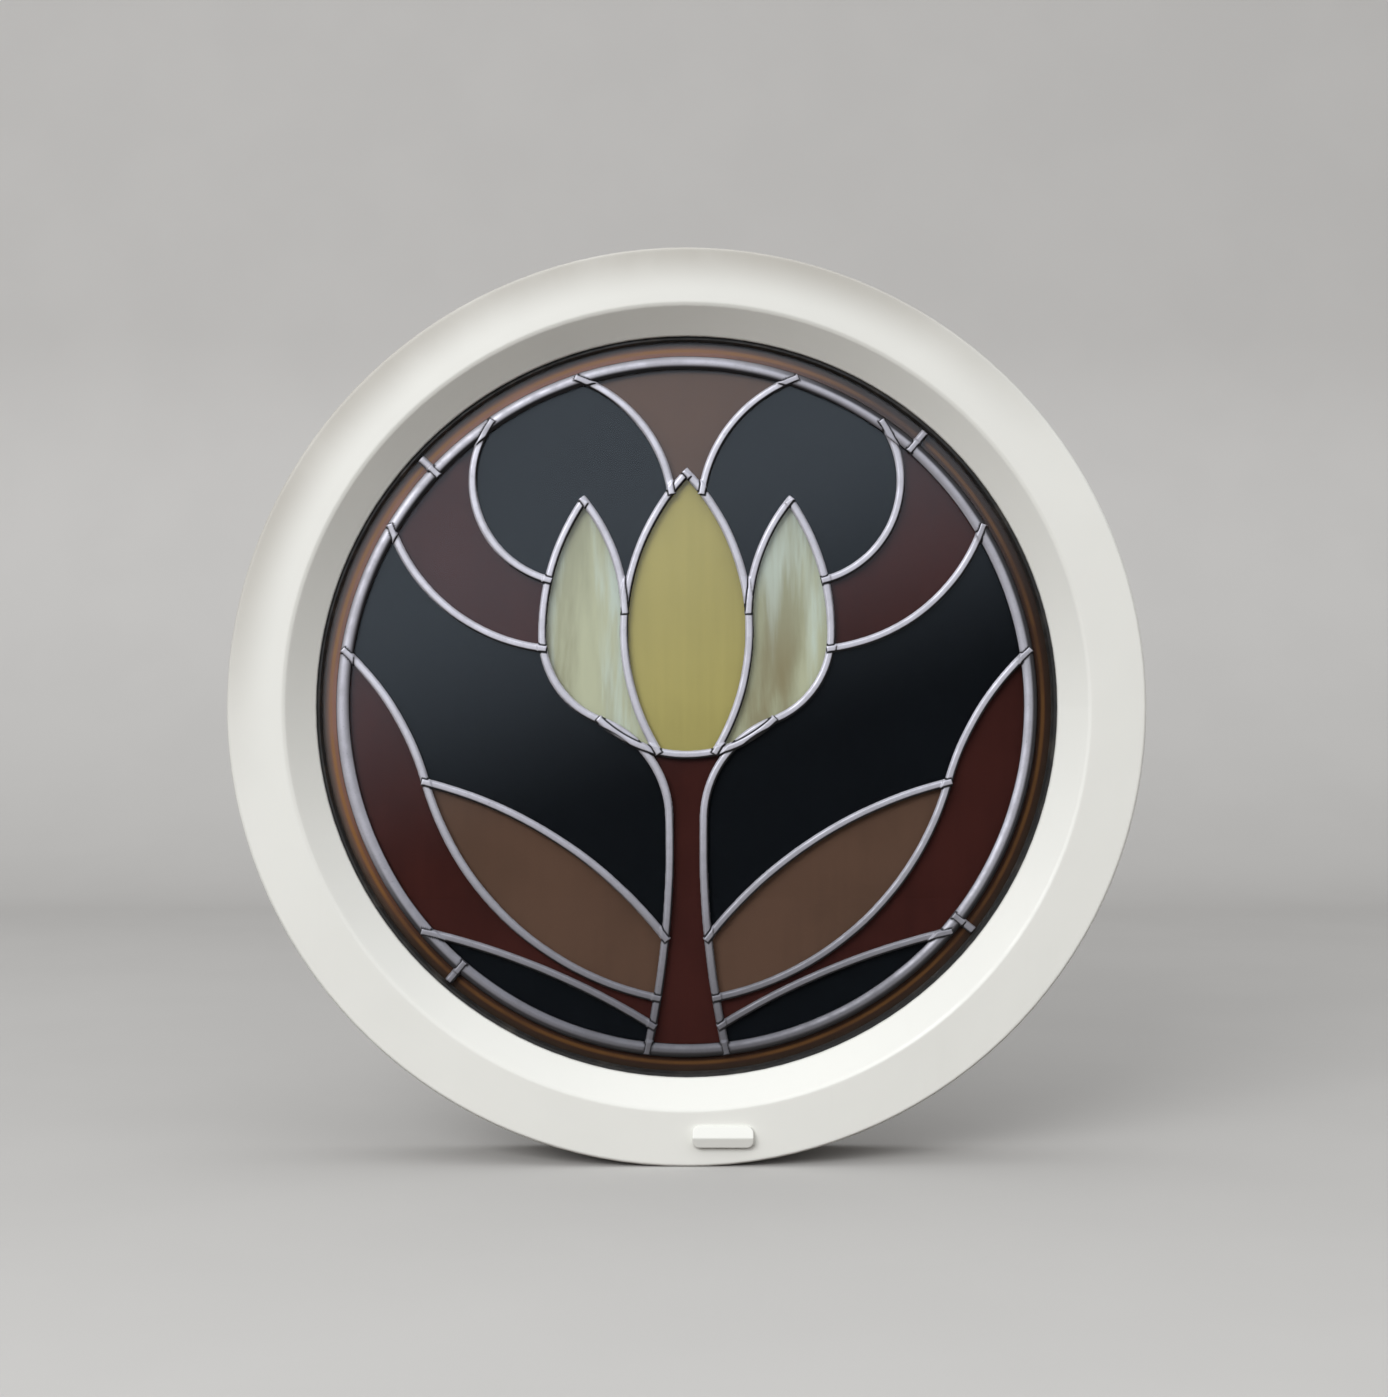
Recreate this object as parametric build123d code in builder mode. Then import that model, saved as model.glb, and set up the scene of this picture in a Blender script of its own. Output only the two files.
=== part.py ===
from build123d import *

import math
import os

# Round fixed window of white PVC-u with a leaded, double-glazed sealed unit.
# Origin at the centre of the window, half-way through the frame. Outdoors is towards -Y, +Z is up.
# Sections are drawn as (radius, depth) on the XY plane and turned about the Y axis.

os.makedirs("parts", exist_ok=True)

# Frame section
frame_r = 300.0
frame_depth = 70.0
face_width = 37.0
slope_run = 18.0
slope_fall = 17.0
leg_lip = 2.5
edge_soft = 1.2
wall = 2.8
web = 1.8

# Glazing allowances
edge_cover = 14.0
packer_thickness = 5.0
outer_gasket_thickness = 3.5
inner_gasket_thickness = 3.0

# Sealed unit
pane = 4.0
cavity = 20.0
spacer_height = 6.5
sealant_depth = 4.5
adhesive = 0.1
film = 0.2

# Gaskets
gasket_lip = 3.4
gasket_width = 12.0
gasket_rake = 1.4
foot_width = 2.4
foot_depth = 4.0
foot_clearance = 0.25

# Glazing bead
bead_lip = 2.5
bead_land = 6.0
bead_foot_width = 3.5
bead_foot_depth = 3.6
bead_foot_from_back = 5.5
bead_clearance = 0.2
bead_joint = 0.4

# Chambers and fixing holes of the frame
leg_chamber_inset = 9.0
front_web_depth = 29.0
rear_web_depth = 24.0
fixing_hole_d = 8.0
fixing_angles = (45.0, 135.0, 225.0, 315.0)

# Packers round the edge of the unit
packer_length = 60.0
packer_angles = (60.0, 120.0, 240.0, 300.0)
packer_clearance = 0.15

# Drain slots, and the cap over the outer one
drain_x = 23.6
drain_from_rim = 20.0
drain_slot_length = 25.0
drain_slot_height = 5.0
rebate_slot_x = -45.0
cap_length = 40.0
cap_height = 14.0
cap_proud = 6.0
cap_top_edge = 1.6
cap_bottom_edge = 4.2
cap_corner = 4.5
cap_wall = 1.3
clip_spread = 15.0
clip_width = 3.0
clip_thickness = 1.4
clip_root = 4.0
clip_hook = 1.0
clip_clearance = 0.2

# Lead strips and the joints between them
ring_inset = 13.6
ring_width = 9.0
ring_height = 2.0
strip_width = 6.0
strip_height = 1.8
crown_share = 0.56
lap_rise = 0.9
lap_margin = 0.7
lap_short = 0.5
bar_angles = (49.0, 137.0, 229.0, 322.0)
film_joint = 0.6
film_edge_gap = 1.5

# Leaded pattern, right half: angles on the ring, and points as shares of its radius
stem_foot_angle = -83.5
stem_middle = (0.060, -0.65)
stem_top = (0.050, -0.32)
calyx_corner = (0.25, -0.04)
cup_side = (0.42, 0.20)
petal_tip = (0.30, 0.60)
calyx_dip = -0.14
heart_foot = (0.085, -0.128)
heart_side = (0.180, 0.28)
heart_top = (0.0, 0.68)
petal_fold = (0.218, 0.46)
ribbon_low_turn = (0.66, 0.26)
ribbon_low_angle = 31.0
ribbon_high_turn = (0.53, 0.44)
ribbon_high_angle = 55.0
leaf_low_turn = (0.52, -0.62)
leaf_tip = (0.76, -0.22)
leaf_angle = 9.0
leaf_high_turn = (0.40, -0.37)
hill_turn = (0.44, -0.755)
hill_angle = -41.0
crown_turn = (0.13, 0.82)
crown_angle = 72.0

# Where a lead starts along the one that it springs from, as shares of that arc
ribbon_low_foot = 0.9
ribbon_high_foot = 0.4
leaf_low_foot = 0.22
leaf_high_foot = 0.48
hill_foot = 0.10
crown_foot = 0.92

# Planes and radii that follow from these sizes
front_y = -frame_depth / 2
rear_y = frame_depth / 2
slope_r = frame_r - face_width
sight_r = slope_r - slope_run
glass_r = sight_r + edge_cover
rebate_r = glass_r + packer_thickness
leg_back_y = front_y + slope_fall + leg_lip
outer_glass_y = leg_back_y + outer_gasket_thickness
cavity_front_y = outer_glass_y + pane
cavity_back_y = cavity_front_y + cavity
inner_glass_y = cavity_back_y + pane
bead_y = inner_glass_y + inner_gasket_thickness
lip_r = sight_r - gasket_lip
gasket_out_r = lip_r + gasket_width
ring_r = lip_r - ring_inset
groove_r = sight_r + (edge_cover - foot_width) / 2
bead_groove_y = rear_y - bead_foot_from_back - bead_foot_width
bead_groove_r = rebate_r + bead_foot_depth + bead_clearance
spacer_out_r = glass_r - sealant_depth
spacer_in_r = spacer_out_r - spacer_height
front_web_y = front_y + front_web_depth
rear_web_y = rear_y - rear_web_depth
fixing_y = (front_web_y + web + rear_web_y) / 2
film_r = spacer_in_r - film_edge_gap
drain_z = drain_from_rim - frame_r
outdoors = Vector(0, -1, 0)


def plane_at(y):
    """The upright plane at this depth, drawn as seen from outdoors: X to the right, Z up."""
    return Plane.XZ.offset(-y)


lead_plane = plane_at(outer_glass_y - adhesive)
film_plane = plane_at(cavity_front_y + adhesive)


def save(part, name):
    part.label = name
    export_step(part, f"parts/{name}.step")


def block(r0, r1, y0, y1):
    """Corners of a section that is a plain rectangle."""
    return (r0, y0), (r1, y0), (r1, y1), (r0, y1)


def turned(*points):
    """A ring turned about the window's axis from its section."""
    with BuildPart() as ring:
        with BuildSketch(Plane.XY):
            Polygon(*points)
        revolve(axis=Axis.Y)
    return ring.part


def on_circle(radius, angle):
    a = math.radians(angle)
    return (radius * math.cos(a), radius * math.sin(a))


def radial_plane(radius, angle, y):
    """A plane across the radius at this angle, facing away from the window's axis."""
    x, z = on_circle(radius, angle)
    return Plane(origin=(x, y, z), x_dir=(0, 1, 0), z_dir=(x, 0, z))


# Frame: one bent ring of chambered profile, with a splayed front leg and a rebate open to the room
leg_chamber_r = rebate_r - leg_chamber_inset
leg_chamber_y = front_y + (slope_r - leg_chamber_r) * slope_fall / slope_run
slope_wall = wall * math.hypot(slope_run, slope_fall) / slope_run
groove_in_r = groove_r - foot_clearance
groove_out_r = groove_r + foot_width + foot_clearance
groove_floor_y = leg_back_y - foot_depth - foot_clearance

with BuildPart() as frame:
    with BuildSketch(Plane.XY) as section:
        Polygon(
            (frame_r, front_y),
            (slope_r, front_y),
            (sight_r, front_y + slope_fall),
            (sight_r, leg_back_y),
            (groove_in_r, leg_back_y),
            (groove_in_r, groove_floor_y),
            (groove_out_r, groove_floor_y),
            (groove_out_r, leg_back_y),
            (rebate_r, leg_back_y),
            (rebate_r, bead_groove_y),
            (bead_groove_r, bead_groove_y),
            (bead_groove_r, bead_groove_y + bead_foot_width),
            (rebate_r, bead_groove_y + bead_foot_width),
            (rebate_r, rear_y),
            (frame_r, rear_y),
        )
        corners = section.vertices()
        soft = ((frame_r, front_y), (slope_r, front_y))
        chamfer([corners.sort_by_distance(Vector(*p))[0] for p in soft], edge_soft)
        Polygon(
            (leg_chamber_r, leg_back_y - wall),
            (leg_chamber_r, leg_chamber_y + slope_wall),
            (slope_r + wall / 2, front_y + wall),
            (frame_r - wall, front_y + wall),
            (frame_r - wall, front_web_y),
            (rebate_r + wall, front_web_y),
            (rebate_r + wall, leg_back_y - wall),
            mode=Mode.SUBTRACT,
        )
        middle = block(rebate_r + wall, frame_r - wall, front_web_y + web, rear_web_y)
        Polygon(*middle, mode=Mode.SUBTRACT)
        rear = block(bead_groove_r + wall, frame_r - wall, rear_web_y + web, rear_y - wall)
        Polygon(*rear, mode=Mode.SUBTRACT)
    revolve(axis=Axis.Y)
    for angle in fixing_angles:
        with BuildSketch(radial_plane(rebate_r - wall, angle, fixing_y)):
            Circle(fixing_hole_d / 2)
        extrude(amount=frame_r - rebate_r + 2 * wall, mode=Mode.SUBTRACT)
    with BuildSketch(plane_at(front_y - wall)):
        with Locations((drain_x, drain_z)):
            SlotOverall(drain_slot_length, drain_slot_height)
    extrude(amount=-3 * wall, mode=Mode.SUBTRACT)
    with BuildSketch(Plane.XY.offset(-rebate_r + 2 * packer_thickness)):
        with Locations((rebate_slot_x, (leg_back_y + front_web_y) / 2)):
            SlotOverall(drain_slot_length, drain_slot_height)
    extrude(amount=-2 * packer_thickness - 2 * wall, mode=Mode.SUBTRACT)
save(frame.part, "frame")

# Outer gasket: raked lip against the glass, foot in the groove of the front leg
outer_gasket = turned(
    (lip_r, outer_glass_y),
    (lip_r + gasket_rake, leg_back_y),
    (groove_r, leg_back_y),
    (groove_r, leg_back_y - foot_depth),
    (groove_r + foot_width, leg_back_y - foot_depth),
    (groove_r + foot_width, leg_back_y),
    (gasket_out_r, leg_back_y),
    (gasket_out_r, outer_glass_y),
)
save(outer_gasket, "outer_gasket")

# Inner gasket, held between the glass and the bead
bead_gasket = turned(
    (lip_r, inner_glass_y),
    (gasket_out_r, inner_glass_y),
    (gasket_out_r, bead_y),
    (lip_r + gasket_rake, bead_y),
)
save(bead_gasket, "bead_gasket")

# Glazing bead: two half rings that clip into the rebate from the room side
bead_top_r = rebate_r - bead_land
bead_base_r = rebate_r - bead_clearance
foot_start_y = bead_groove_y + bead_clearance
foot_end_y = bead_groove_y + bead_foot_width - bead_clearance

with BuildPart() as bead:
    with BuildSketch(Plane.XY):
        Polygon(
            (sight_r, bead_y),
            (sight_r, bead_y + bead_lip),
            (bead_top_r, rear_y),
            (bead_base_r, rear_y),
            (bead_base_r, foot_end_y),
            (rebate_r + bead_foot_depth, foot_end_y),
            (rebate_r + bead_foot_depth, foot_start_y),
            (bead_base_r, foot_start_y),
            (bead_base_r, bead_y),
        )
    revolve(axis=Axis.Y)

for name, side in (("left", -1), ("right", 1)):
    with BuildPart() as half:
        add(bead.part)
        cut = Plane(origin=(side * bead_joint / 2, 0, 0), z_dir=(side, 0, 0))
        split(bisect_by=cut, keep=Keep.TOP)
    save(half.part, f"glazing_bead_{name}")

# Panes
for name, y in (("outer_pane", outer_glass_y), ("inner_pane", cavity_back_y)):
    with BuildPart() as glass:
        with BuildSketch(plane_at(y)):
            Circle(glass_r)
        extrude(amount=-pane)
    save(glass.part, name)

# Spacer bar between the panes, and the sealant behind it at the edge of the unit
save(turned(*block(spacer_in_r, spacer_out_r, cavity_front_y, cavity_back_y)), "spacer_bar")
save(turned(*block(spacer_out_r, glass_r, cavity_front_y, cavity_back_y)), "edge_sealant")

# Packers between the edge of the unit and the rebate
packer_turn = math.degrees(packer_length / (glass_r + packer_thickness / 2))
packer_in_r = glass_r + packer_clearance
packer_out_r = rebate_r - packer_clearance
with BuildPart() as packers:
    for angle in packer_angles:
        x, z = on_circle(1, angle + packer_turn / 2)
        with BuildSketch(Plane((0, 0, 0), x_dir=(x, 0, z), z_dir=(-z, 0, x))):
            Polygon(*block(packer_in_r, packer_out_r, outer_glass_y, inner_glass_y))
        revolve(axis=Axis.Y, revolution_arc=packer_turn)
save(packers.part, "glazing_packers")

# Drain cap: a ridged hollow cover, open below, on two barbed clips through the drain slot
cap_in_top = drain_z + cap_height / 2 - cap_wall
clip_z = drain_z + drain_slot_height / 2 - clip_clearance - clip_thickness
hook_y = front_y + wall + clip_clearance

with BuildPart() as cap:
    with BuildSketch(Plane.YZ.offset(drain_x - cap_length / 2)):
        Polygon(
            (front_y, drain_z + cap_height / 2),
            (front_y - cap_top_edge, drain_z + cap_height / 2),
            (front_y - cap_proud, drain_z),
            (front_y - cap_bottom_edge, drain_z - cap_height / 2),
            (front_y, drain_z - cap_height / 2),
        )
    extrude(amount=cap_length)
    with BuildSketch(plane_at(front_y)):
        with Locations((drain_x, drain_z)):
            RectangleRounded(cap_length, cap_height, cap_corner)
    extrude(amount=cap_proud, mode=Mode.INTERSECT)
    with BuildSketch(Plane.YZ.offset(drain_x - cap_length / 2 + cap_corner)):
        Polygon(
            (front_y, cap_in_top),
            (front_y - cap_top_edge / 2, cap_in_top),
            (front_y - cap_proud + cap_wall, drain_z),
            (front_y - cap_bottom_edge + cap_wall, drain_z - cap_height),
            (front_y, drain_z - cap_height),
        )
    extrude(amount=cap_length - 2 * cap_corner, mode=Mode.SUBTRACT)
    for side in (-1, 1):
        clip_x = drain_x + side * clip_spread / 2 - clip_width / 2
        with BuildSketch(Plane.YZ.offset(clip_x)):
            Polygon(
                (front_y - clip_root, clip_z),
                (hook_y + 2 * clip_hook, clip_z),
                (hook_y + 2 * clip_hook, clip_z + clip_thickness),
                (hook_y, clip_z + clip_thickness + clip_clearance + clip_hook),
                (hook_y, clip_z + clip_thickness),
                (front_y - clip_root, clip_z + clip_thickness),
            )
        extrude(amount=clip_width)
save(cap.part, "drain_cap")


# Leaded panel
def came_section(width, height):
    """Corners of a lead strip's section: flat back, sloping flanks and a flat crown."""
    crown = crown_share * width
    return (-width / 2, 0), (width / 2, 0), (crown / 2, height), (-crown / 2, height)


def came(path, width, height, lift=0.0):
    """A strip of lead along a path, its back flat on the glass, or lifted on upright sides."""
    start, way = path @ 0, path % 0
    with BuildPart() as strip:
        with BuildSketch(Plane(origin=start, x_dir=outdoors.cross(way), z_dir=way)):
            with Locations((0, lift)):
                Polygon(*came_section(width, height))
            if lift:
                Rectangle(width, lift, align=(Align.CENTER, Align.MIN))
        sweep(path=path)
    return strip.part


def band(curve, width, thickness):
    """A flat band of even width along a curve, standing out from the glass."""
    with BuildPart() as strip:
        with BuildSketch(lead_plane):
            trace(lead_plane.to_local_coords(curve), width)
        extrude(amount=thickness)
    return strip.part


def arc(start, through, end):
    with BuildLine(lead_plane) as line:
        ThreePointArc(start, through, end)
    return line.wire()


def run_on(curve, before, after):
    """The curve with a straight run past each end, to lap the strip that it meets there."""
    with BuildLine(lead_plane) as line:
        if before:
            Line((curve @ 0) - (curve % 0) * before, curve @ 0)
        add(curve)
        if after:
            Line(curve @ 1, (curve @ 1) + (curve % 1) * after)
    return line.wire()


def half_pattern(side):
    """The leads of one half of the flower in laying order: name, curve, and what each end laps."""
    own = "left" if side < 0 else "right"

    def at(point):
        return (side * point[0] * ring_r, point[1] * ring_r)

    def rim(angle):
        x, z = on_circle(ring_r, angle)
        return (side * x, z)

    with BuildLine(lead_plane) as outline:
        stem = ThreePointArc(rim(stem_foot_angle), at(stem_middle), at(stem_top))
        calyx = TangentArc(stem @ 1, at(calyx_corner), tangent=stem % 1)
        cup = TangentArc(calyx @ 1, at(cup_side), tangent=calyx % 1)
        petal = TangentArc(cup @ 1, at(petal_tip), tangent=cup % 1)
    with BuildLine(lead_plane) as leaf_low:
        blade = ThreePointArc(stem @ leaf_low_foot, at(leaf_low_turn), at(leaf_tip))
        TangentArc(blade @ 1, rim(leaf_angle), tangent=blade % 1)
    heart = arc(at(heart_foot), at(heart_side), at(heart_top))
    fold = arc(at(petal_tip), at(petal_fold), at(heart_side))
    ribbon_low = arc(cup @ ribbon_low_foot, at(ribbon_low_turn), rim(ribbon_low_angle))
    ribbon_high = arc(petal @ ribbon_high_foot, at(ribbon_high_turn), rim(ribbon_high_angle))
    leaf_high = arc(stem @ leaf_high_foot, at(leaf_high_turn), at(leaf_tip))
    hill = arc(stem @ hill_foot, at(hill_turn), rim(hill_angle))
    crown = arc(heart @ crown_foot, at(crown_turn), rim(crown_angle))
    return {
        f"{own}_outline": (outline.wire(), "ring", None),
        f"{own}_heart": (heart, "calyx_edge", "left_heart" if side > 0 else None),
        f"{own}_petal_fold": (fold, f"{own}_outline", f"{own}_heart"),
        f"{own}_ribbon_low": (ribbon_low, f"{own}_outline", "ring"),
        f"{own}_ribbon_high": (ribbon_high, f"{own}_outline", "ring"),
        f"{own}_leaf_low": (leaf_low.wire(), f"{own}_outline", "ring"),
        f"{own}_leaf_high": (leaf_high, f"{own}_outline", f"{own}_leaf_low"),
        f"{own}_hill": (hill, f"{own}_outline", "ring"),
        f"{own}_crown": (crown, f"{own}_heart", "ring"),
    }


left, right = half_pattern(-1), half_pattern(1)
calyx_edge = arc(
    (-calyx_corner[0] * ring_r, calyx_corner[1] * ring_r),
    (0, calyx_dip * ring_r),
    (calyx_corner[0] * ring_r, calyx_corner[1] * ring_r),
)
leads = {
    "left_outline": left.pop("left_outline"),
    "right_outline": right.pop("right_outline"),
    "calyx_edge": (calyx_edge, "left_outline", "right_outline"),
    **left,
    **right,
}
for name, angle in zip(("upper_right", "upper_left", "lower_left", "lower_right"), bar_angles):
    with BuildLine(lead_plane) as bar:
        Line(on_circle(ring_r, angle), on_circle(lip_r - lap_short, angle))
    leads[f"{name}_bar"] = (bar.wire(), "ring", None)

# The ring round the pattern is one closed strip
with BuildPart() as lead_ring:
    with BuildSketch(Plane.XY):
        glass_side = outer_glass_y - adhesive
        Polygon(*[(ring_r + x, glass_side - z) for x, z in came_section(ring_width, ring_height)])
    revolve(axis=Axis.Y)
save(lead_ring.part, "lead_ring")

with BuildPart() as ring_zone:
    with BuildSketch(lead_plane):
        Circle(ring_r + ring_width / 2 + lap_margin)
        Circle(ring_r - ring_width / 2 - lap_margin, mode=Mode.SUBTRACT)
    extrude(amount=2 * ring_height + lap_rise)

# Each strip stops on the one below it, its end pressed up over that strip
laid = {"ring": lead_ring.part}
zones = {"ring": ring_zone.part}
reach = {"ring": ring_width / 2 - lap_short}
for name, (curve, start_on, end_on) in leads.items():
    path = run_on(curve, reach.get(start_on, 0), reach.get(end_on, 0))
    under = [n for n in (start_on, end_on) if n]
    with BuildPart() as strip:
        add(came(path, strip_width, strip_height, lap_rise))
        add([zones[n] for n in under], mode=Mode.INTERSECT)
        add(came(path, strip_width, strip_height))
        add([laid[n] for n in under], mode=Mode.SUBTRACT)
    laid[name] = strip.part
    zone_path = run_on(curve, lap_margin, lap_margin)
    zones[name] = band(zone_path, strip_width + 2 * lap_margin, 2 * strip_height + lap_rise)
    reach[name] = strip_width / 2 - lap_short

# Strips that mirror each other are kept together, apart from the two that lap at the flower's tip
lead_groups = {
    "calyx_edge": ["calyx_edge"],
    "left_heart": ["left_heart"],
    "right_heart": ["right_heart"],
    "bars": [name for name in leads if name.endswith("bar")],
}
mirrored = ["outline", "petal_fold", "ribbon_low", "ribbon_high", "leaf_low", "leaf_high", "hill", "crown"]
for kind in mirrored:
    lead_groups[f"{kind}s"] = [f"left_{kind}", f"right_{kind}"]
for group, names in lead_groups.items():
    with BuildPart() as together:
        add([laid[name] for name in names])
    save(together.part, f"lead_{group}")

# Coloured films on the cavity side of the outer pane, cut along the lead lines and held inside the unit
film_seeds = {
    "stem": [(0, -0.50)],
    "heart": [(0, 0.30)],
    "crown": [(0, 0.85)],
    "petals": [(0.28, 0.20), (-0.28, 0.20)],
    "ribbons": [(0.64, 0.42), (-0.64, 0.42)],
    "side_skies": [(0.70, 0.00), (-0.70, 0.00)],
    "upper_skies": [(0.35, 0.80), (-0.35, 0.80)],
    "leaves": [(0.45, -0.52), (-0.45, -0.52)],
    "hills": [(0.80, -0.40), (-0.80, -0.40)],
    "ground": [(0.35, -0.88), (-0.35, -0.88)],
    "border": [on_circle((ring_r + film_r) / 2 / ring_r, angle) for angle in (5, 93, 183, 275)],
}

with BuildPart() as films:
    with BuildSketch(film_plane):
        Circle(film_r)
        Circle(ring_r + film_joint / 2, mode=Mode.SUBTRACT)
        Circle(ring_r - film_joint / 2)
        for curve, *_ in leads.values():
            trace(lead_plane.to_local_coords(curve), film_joint, mode=Mode.SUBTRACT)
        for angle in bar_angles:
            with BuildLine():
                Line(on_circle(ring_r, angle), on_circle(film_r + film_joint, angle))
            trace(line_width=film_joint, mode=Mode.SUBTRACT)
    extrude(amount=-film)

for name, seeds in film_seeds.items():
    inside = [film_plane.from_local_coords((x * ring_r, z * ring_r, -film / 2)) for x, z in seeds]
    pieces = [solid for solid in films.solids() if any(solid.is_inside(point) for point in inside)]
    save(Part(pieces), f"film_{name}")
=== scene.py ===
import math

import bmesh
import bpy
from bpy.props import FloatProperty, FloatVectorProperty, PointerProperty
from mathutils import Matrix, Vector, noise
from mathutils.bvhtree import BVHTree


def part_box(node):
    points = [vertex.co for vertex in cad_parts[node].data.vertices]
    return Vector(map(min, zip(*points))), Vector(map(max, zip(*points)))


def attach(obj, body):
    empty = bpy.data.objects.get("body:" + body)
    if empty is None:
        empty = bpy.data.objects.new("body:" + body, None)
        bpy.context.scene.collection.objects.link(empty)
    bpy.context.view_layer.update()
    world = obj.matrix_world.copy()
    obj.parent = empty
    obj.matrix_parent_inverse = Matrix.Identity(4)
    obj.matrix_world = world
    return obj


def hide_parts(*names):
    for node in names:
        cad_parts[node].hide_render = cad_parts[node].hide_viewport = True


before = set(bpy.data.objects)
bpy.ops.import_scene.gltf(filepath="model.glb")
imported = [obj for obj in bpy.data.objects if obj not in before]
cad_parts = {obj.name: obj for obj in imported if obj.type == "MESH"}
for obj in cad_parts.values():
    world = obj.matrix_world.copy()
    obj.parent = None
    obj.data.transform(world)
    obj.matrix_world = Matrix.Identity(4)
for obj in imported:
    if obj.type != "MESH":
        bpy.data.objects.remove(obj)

# Round leaded window of white PVC-u. Outdoors is towards -Y and +Z is up, in metres.

bl_info = {
    "name": "Round leaded window",
    "version": (1, 0, 0),
    "blender": (4, 5, 0),
    "location": "3D View > Sidebar > Leaded window",
    "description": "Finishes of a round PVC-u window with a leaded and coloured sealed unit",
    "category": "Object",
}

# Radii run from the window's axis. The frame's leg laps over the outer gasket and ends at SIGHT_R.
LEG_LAP = 0.012
HALF_RING = 0.0045
LEAD_NODES = sorted(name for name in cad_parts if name.startswith("lead_"))
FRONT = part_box("frame")[0].y
FRAME_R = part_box("frame")[1].x
SIGHT_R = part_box("outer_gasket")[1].x - LEG_LAP
GLASS_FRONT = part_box("outer_pane")[0].y
RING_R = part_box("lead_ring")[1].x - HALF_RING

# Painted shade on the lead, and its dull ring: the direction away from the light, and limits in
# metres between which they fade
SHADED_SIDE = (0.45, 0.0, -0.89)
SHADE_LOW_HEIGHT = (-0.29, 0.04)
DULL_RING_R = (RING_R - 0.008, RING_R - 0.006)
OUTER_FLANK_R = (RING_R + 0.0002, RING_R + 0.0022)
FOOT_DEPTH = (GLASS_FRONT - 0.0006, GLASS_FRONT - 0.0001)
SEAM_BELOW_CROWN = 0.0002
SEAM_FADE = 0.0003

# Forms: points closer than WELD are one, and the drain cap is smoothed only ahead of CAP_FRONT
WELD = 1e-6
RING_STEPS = 1440
BEND_STEPS = 24
STRIP_ROUNDS = 2
CAP_ROUNDS = 16
CAP_FRONT = FRONT - 0.0006
SWAY_SCALE = 45.0
SWAY_SEED = 7

# Between which places in Y mirrored paper turns from dark to pale, and between which heights of
# the view the mirrored ground turns into sky, and the light from below into that from above
MIRRORED_PAPER_Y = (-0.31, -0.20)
SKYLINE = (-0.045, 0.11)
LIGHT_RISE = (-0.15, 0.35)


def colour(text, default):
    """A colour that the user can set, as linear red, green and blue."""
    return FloatVectorProperty(
        name=text, description=f"{text}, as linear red, green and blue", default=default,
        size=3, min=0.0, max=1.0, subtype="COLOR",
    )


def length(text, default, top=10.0):
    """A length in metres that the user can set."""
    return FloatProperty(
        name=text, description=text, default=default, min=0.0, max=top, unit="LENGTH",
    )


class PlasticSettings(bpy.types.PropertyGroup):
    white: colour("White of the PVC-u", (0.86, 0.865, 0.825))
    # Grime, and the colour of the painted shade at the upper rim
    grime_and_shade: colour("Grime on the PVC-u", (0.36, 0.33, 0.28))
    # Width of the band of grime and painted shade at the rim
    grime_and_shade_band: length("Width of the weathered band at the rim", 0.030)
    edge_round: length("Rounding of the profile's edges", 0.0022)
    cap_grain: length("Size of the grains that round the drain cap off", 0.0003)
    packer: colour("Packer plastic", (0.05, 0.22, 0.11))


class RubberSettings(bpy.types.PropertyGroup):
    black: colour("Black of the gaskets", (0.010, 0.009, 0.008))
    dust: colour("Dust on the gaskets", (0.10, 0.085, 0.07))


class GlassSettings(bpy.types.PropertyGroup):
    clean: colour("Clean glass", (0.975, 0.990, 0.982))
    bloom: colour("Glass with the bloom that rain leaves", (0.945, 0.962, 0.955))
    passing: colour("Tint of the light that passes straight through", (0.94, 0.96, 0.95))


class LeadSettings(bpy.types.PropertyGroup):
    bloom: colour("Pale bloom of the lead", (0.70, 0.685, 0.755))
    # Dark lead: its spots, and the colour of the painted shade in the seams, below and by the
    # glass
    dark: colour("Dark lead in the seams and below", (0.020, 0.018, 0.020))
    ring_width: length("Width of the ring", 0.009)
    crown_width: length("Width of the ring's crown", 0.005)
    roundness: length("Rounding of the ring's corners", 0.0020)
    grain: length("Size of the grains that round the strips off", 0.00045)
    unevenness: length("Unevenness of the strips", 0.00013)
    # Width of the painted shade in the seams where strips lap
    seam: length("Width of the dark seam where strips lap", 0.0009)


class FilmSettings(bpy.types.PropertyGroup):
    smoke: colour("Smoke film", (0.0035, 0.0045, 0.0065))
    maroon: colour("Maroon film", (0.056, 0.0145, 0.012))
    taupe: colour("Taupe film", (0.128, 0.070, 0.049))
    yellow: colour("Yellow film", (0.51, 0.43, 0.155))
    cream: colour("Cream film", (0.60, 0.60, 0.43))
    wisp: colour("White wisps in the cream film", (0.70, 0.78, 0.735))
    streak: colour("Brown streaks in the cream film", (0.30, 0.24, 0.13))
    border: colour("Border film by the ring", (0.31, 0.138, 0.096))
    border_edge: colour("Border film by the gasket", (0.145, 0.098, 0.078))
    # Colour of the border's painted shade away from the light
    border_dark: colour("Border film away from the light", (0.020, 0.010, 0.006))
    # A painted glint of light along the border, and its radius
    amber_glint: colour("Amber line in the border", (0.34, 0.15, 0.040))
    amber_r: length("Radius of the amber line", 0.2365)


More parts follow.
